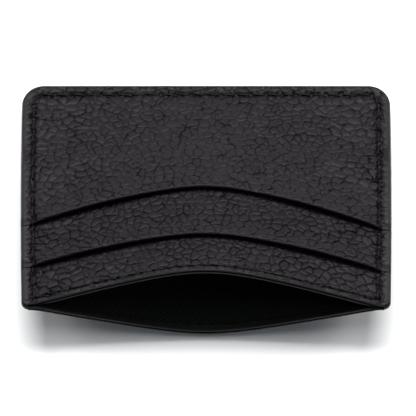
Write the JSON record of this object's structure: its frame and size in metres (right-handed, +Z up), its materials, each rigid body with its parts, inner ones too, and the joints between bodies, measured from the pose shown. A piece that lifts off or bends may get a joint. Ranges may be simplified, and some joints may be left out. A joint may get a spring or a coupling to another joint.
{
  "type": "card holder",
  "caption": "Slim leather card holder with an open central pocket and card slots with wave-cut mouths on both faces.",
  "frame": {"origin": "centre of the footprint of the whole holder, on the surface it lies on", "axes": "+X across the holder along its long side, +Y from the pocket mouth to the closed end, +Z up out of the front face"},
  "size_m": [0.1, 0.0718, 0.026],
  "materials": {
    "pebbled_leather": "black pebbled grain, low sheen",
    "facing_leather": "smooth black split leather",
    "edge_paint": "satin black edge paint",
    "twill_lining": "black twill with diagonal ribs",
    "slot_lining": "thin plain black lining",
    "stiffener_board": "bonded fibre board, hidden",
    "thread": "black waxed polyester thread"
  },
  "bodies": {
    "root": {"back_base_leather": "pebbled_leather", "back_middle_slot_edge_paint": "edge_paint", "back_middle_slot_leather": "pebbled_leather", "back_middle_slot_lining": "slot_lining", "back_mouth_edge_paint": "edge_paint", "back_mouth_facing": "facing_leather", "back_mouth_stitching": "thread", "back_outer_slot_edge_paint": "edge_paint", "back_outer_slot_leather": "pebbled_leather", "back_outer_slot_lining": "slot_lining", "back_pocket_lining": "twill_lining", "back_stiffener": "stiffener_board", "front_base_leather": "pebbled_leather", "front_middle_slot_edge_paint": "edge_paint", "front_middle_slot_leather": "pebbled_leather", "front_middle_slot_lining": "slot_lining", "front_mouth_edge_paint": "edge_paint", "front_mouth_facing": "facing_leather", "front_mouth_stitching": "thread", "front_outer_slot_edge_paint": "edge_paint", "front_outer_slot_leather": "pebbled_leather", "front_outer_slot_lining": "slot_lining", "front_pocket_lining": "twill_lining", "front_stiffener": "stiffener_board", "perimeter_bobbin_thread": "thread", "perimeter_edge_paint": "edge_paint", "perimeter_top_thread": "thread"}
  },
  "joints": []
}
